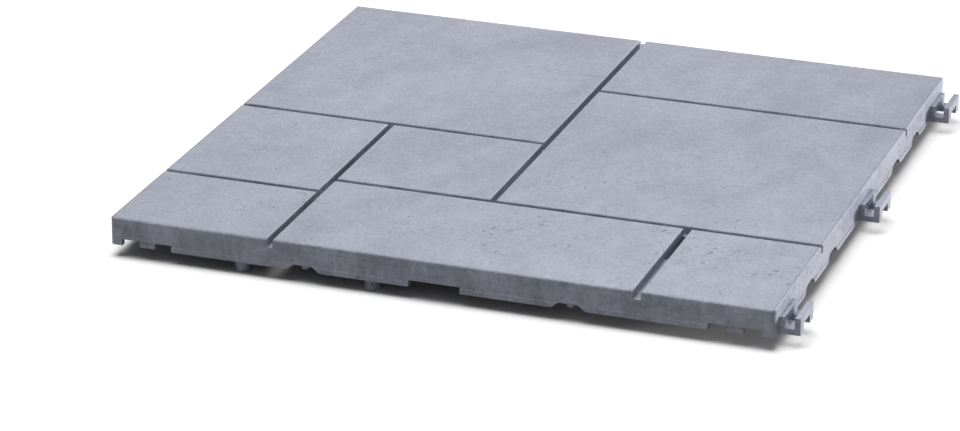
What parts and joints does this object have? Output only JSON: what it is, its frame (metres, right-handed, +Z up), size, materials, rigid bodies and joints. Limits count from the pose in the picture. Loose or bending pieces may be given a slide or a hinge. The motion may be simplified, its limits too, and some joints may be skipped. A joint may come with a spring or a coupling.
{
  "type": "interlocking deck tile",
  "caption": "Square moulded plastic deck tile with a grooved paving-stone face, ribbed underside, round pegs, and hooks on two sides that clip under notches on the opposite sides.",
  "frame": {"origin": "centre of the overall footprint, hooks included, on the level floor that the pegs stand on", "axes": "+Z up out of the face, +X towards the right-hand side that carries hooks, +Y towards the back side that carries hooks; the receivers are on the -X and -Y sides"},
  "size_m": [0.412, 0.412, 0.025],
  "materials": {
    "plastic": "matt blue-grey recycled plastic with a faintly worn, pitted skin"
  },
  "bodies": {
    "root": {"deck_tile": "plastic"}
  },
  "joints": []
}
